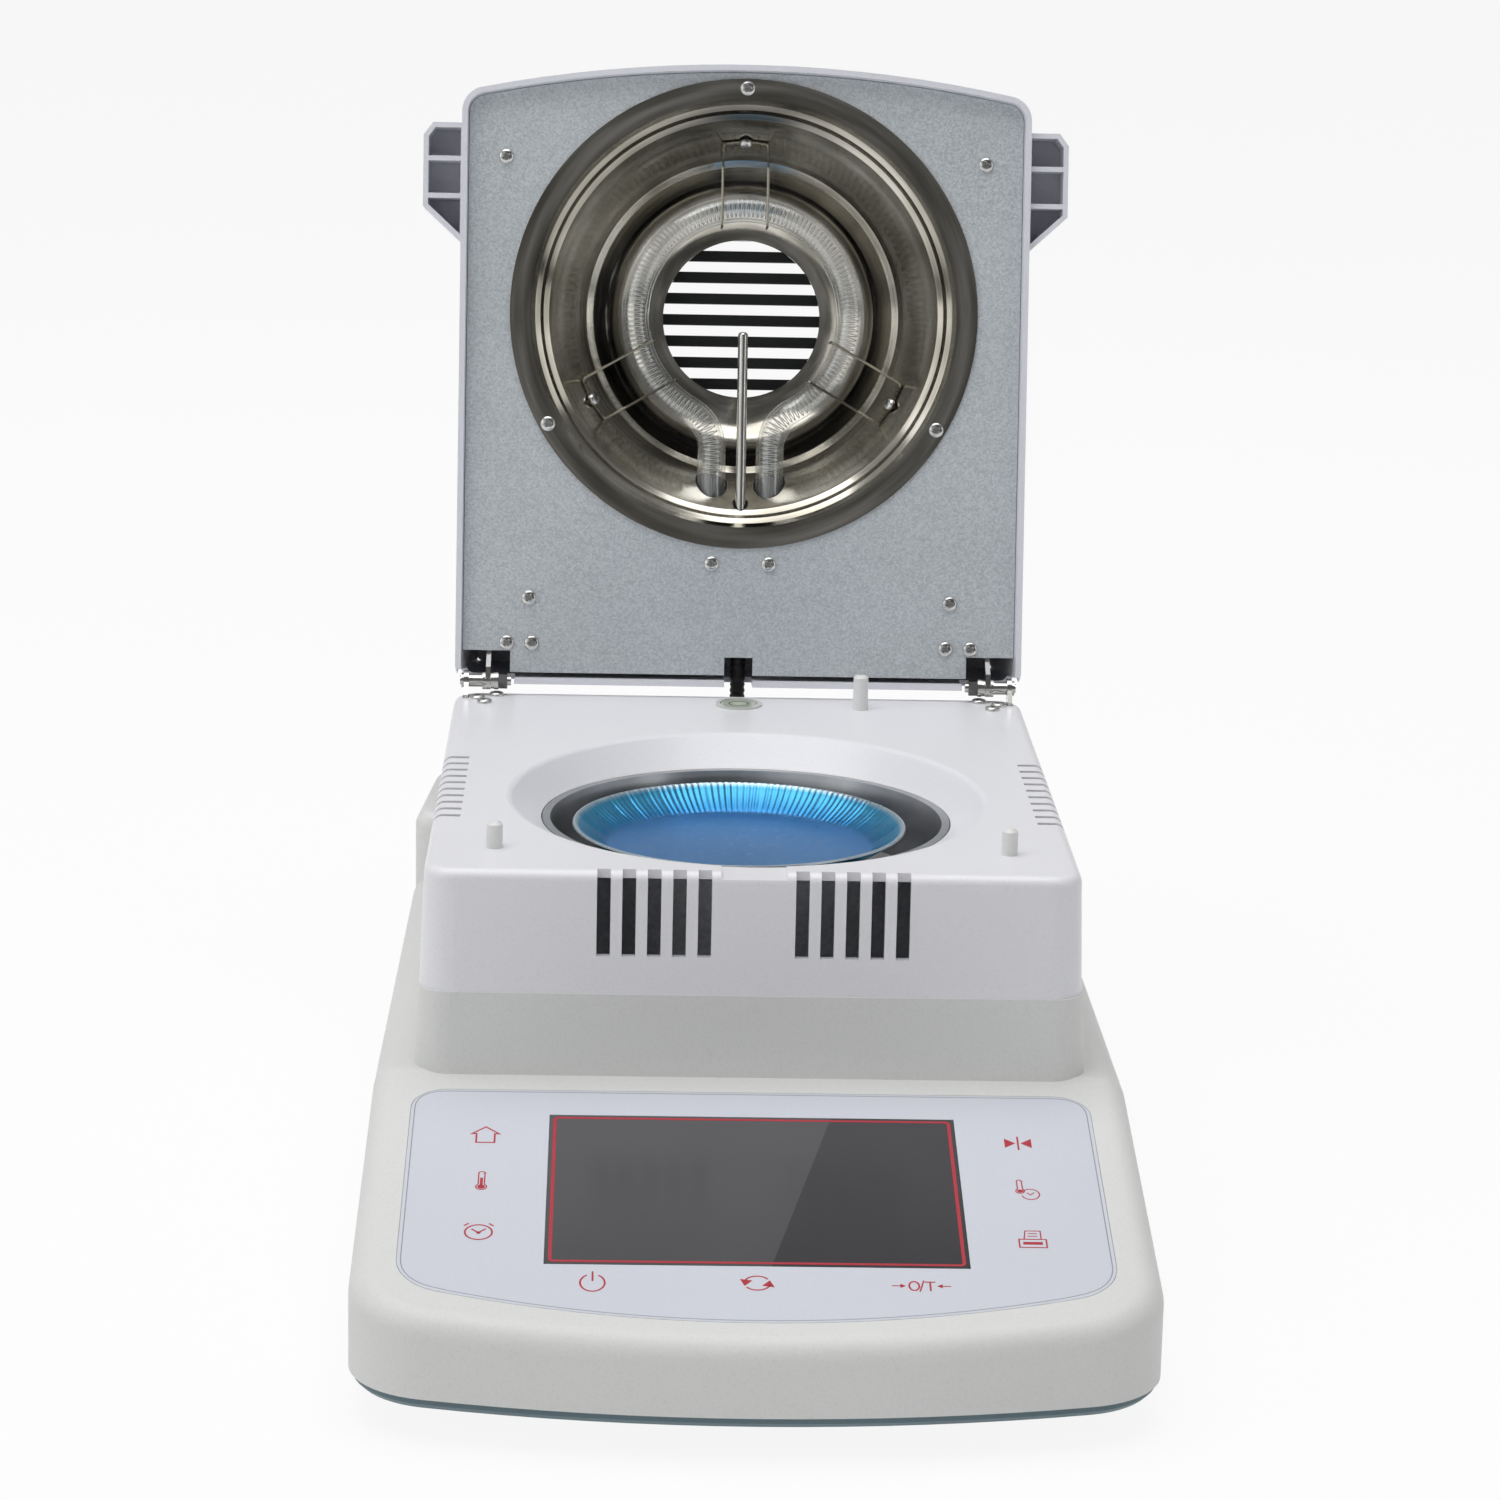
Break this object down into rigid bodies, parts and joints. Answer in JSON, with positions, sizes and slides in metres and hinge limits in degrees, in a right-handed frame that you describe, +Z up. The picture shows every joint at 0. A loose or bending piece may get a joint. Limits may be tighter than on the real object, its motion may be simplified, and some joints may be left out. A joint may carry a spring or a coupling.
{
  "type": "moisture analyzer",
  "caption": "Bench moisture analyzer: a balance with sloping touch panel and lift-out pan, and a hinged lid with ring lamp and spun reflector that dries the sample.",
  "frame": {"origin": "on the table, under the middle of the footprint with the lid open", "axes": "+X to the operator's right, +Y towards the rear, +Z up"},
  "size_m": [0.2128, 0.4399, 0.3208],
  "materials": {
    "housing": "fine grain",
    "bottom_plate": "matt",
    "bright_screws": "nickel plated",
    "feet": "matt",
    "steel": "satin",
    "black_plastic": "matt",
    "black_gloss": "glossy",
    "panel_sheet": "printed film, satin",
    "display": "glossy",
    "circuit_board": "satin",
    "aluminium": "milled",
    "chamber_paint": "semi-gloss",
    "bright_metal": "nickel plated",
    "dark_metal": "oxidised",
    "dish_steel": "polished",
    "pan_foil": "bright foil, blue",
    "white_plastic": "satin",
    "level_glass": "clear",
    "lid_plastic": "fine grain",
    "lid_plate": "zinc spangle",
    "black_paint": "matt",
    "reflector": "polished stainless steel",
    "lamp_glass": "clear quartz",
    "filament": "drawn wire",
    "ceramic": "unglazed",
    "lead_sleeve": "satin"
  },
  "bodies": {
    "root": {"base_cover": "housing", "base_screws": "bright_screws", "bottom_plate": "bottom_plate", "chamber_cover": "chamber_paint", "chamber_floor": "steel", "chamber_liner": "steel", "control_panel": "panel_sheet", "display_module": "black_plastic", "display_window": "display", "front_feet": "feet", "fuse_holder": "black_plastic", "heat_shield_dish": "dish_steel", "hinge_brackets": "bright_metal", "hinge_nuts": "dark_metal", "hinge_pins": "bright_metal", "hinge_screws": "bright_screws", "hinge_sleeves": "bright_metal", "level_cup": "black_plastic", "level_glass": "level_glass", "lid_lead": "lead_sleeve", "load_cell": "aluminium", "load_cell_bracket": "aluminium", "load_stem": "steel", "main_board": "circuit_board", "micro_switch": "black_plastic", "plunger_spring": "steel", "power_board": "circuit_board", "power_inlet": "black_plastic", "power_switch_frame": "black_plastic", "rest_pins": "white_plastic", "serial_port": "steel"},
    "lid": {"lid_shell": "lid_plastic", "lid_plate": "lid_plate", "lid_screws": "bright_screws", "flange_screws": "bright_screws", "vent_grille": "black_paint", "reflector": "reflector", "lamp_tube": "lamp_glass", "lamp_filament": "filament", "lamp_holder": "ceramic", "lamp_clips": "steel", "clip_screws": "bright_screws", "sensor_rod": "bright_metal", "sensor_gland": "bright_metal", "hinge_arms": "bright_metal"},
    "switch_plunger": {"switch_plunger": "white_plastic"},
    "pan_support": {"pan_support": "steel"},
    "sample_pan": {"sample_pan": "pan_foil"},
    "rocker": {"rocker": "black_gloss"},
    "foot_stud_left": {"foot_stud_left": "steel"},
    "foot_stud_right": {"foot_stud_right": "steel"},
    "foot_wheel_left": {"foot_wheel_left": "black_plastic"},
    "foot_wheel_right": {"foot_wheel_right": "black_plastic"}
  },
  "joints": [
    {"name": "lid_hinge", "type": "hinge", "parent": "root", "child": "lid", "pos_m": [0, 0.129, 0.124], "axis": [-1, 0, 0], "range_deg": [-99.3, 0], "deforming": ["lid_lead"]},
    {"name": "switch_travel", "type": "slide", "parent": "root", "child": "switch_plunger", "axis": [0, 0, 1], "range_m": [-0.0031, 0], "deforming": ["plunger_spring"]},
    {"name": "support_lift", "type": "slide", "parent": "root", "child": "pan_support", "axis": [0, 0, 1], "range_m": [0, 0.05]},
    {"name": "pan_lift", "type": "slide", "parent": "pan_support", "child": "sample_pan", "axis": [0, 0, 1], "range_m": [0, 0.06]},
    {"name": "power_rock", "type": "hinge", "parent": "root", "child": "rocker", "pos_m": [0.022, 0.18, 0.046], "axis": [0, 0, 1], "range_deg": [-18, 0]},
    {"name": "foot_left_rise", "type": "slide", "parent": "root", "child": "foot_stud_left", "axis": [0, 0, 1], "range_m": [-0.0041, 0]},
    {"name": "foot_left_turn", "type": "hinge", "parent": "foot_stud_left", "child": "foot_wheel_left", "pos_m": [-0.078, 0.14, 0.0032], "axis": [0, 0, 1], "range_deg": [-1440, 0]},
    {"name": "foot_right_rise", "type": "slide", "parent": "root", "child": "foot_stud_right", "axis": [0, 0, 1], "range_m": [-0.0041, 0]},
    {"name": "foot_right_turn", "type": "hinge", "parent": "foot_stud_right", "child": "foot_wheel_right", "pos_m": [0.078, 0.14, 0.0032], "axis": [0, 0, 1], "range_deg": [-1440, 0]}
  ],
  "couplings": [
    {"joint": "switch_travel", "follows": "lid_hinge", "m_per_rad": 0.001731},
    {"joint": "foot_left_rise", "follows": "foot_left_turn", "m_per_rad": 0.00015915},
    {"joint": "foot_right_rise", "follows": "foot_right_turn", "m_per_rad": 0.00015915}
  ]
}
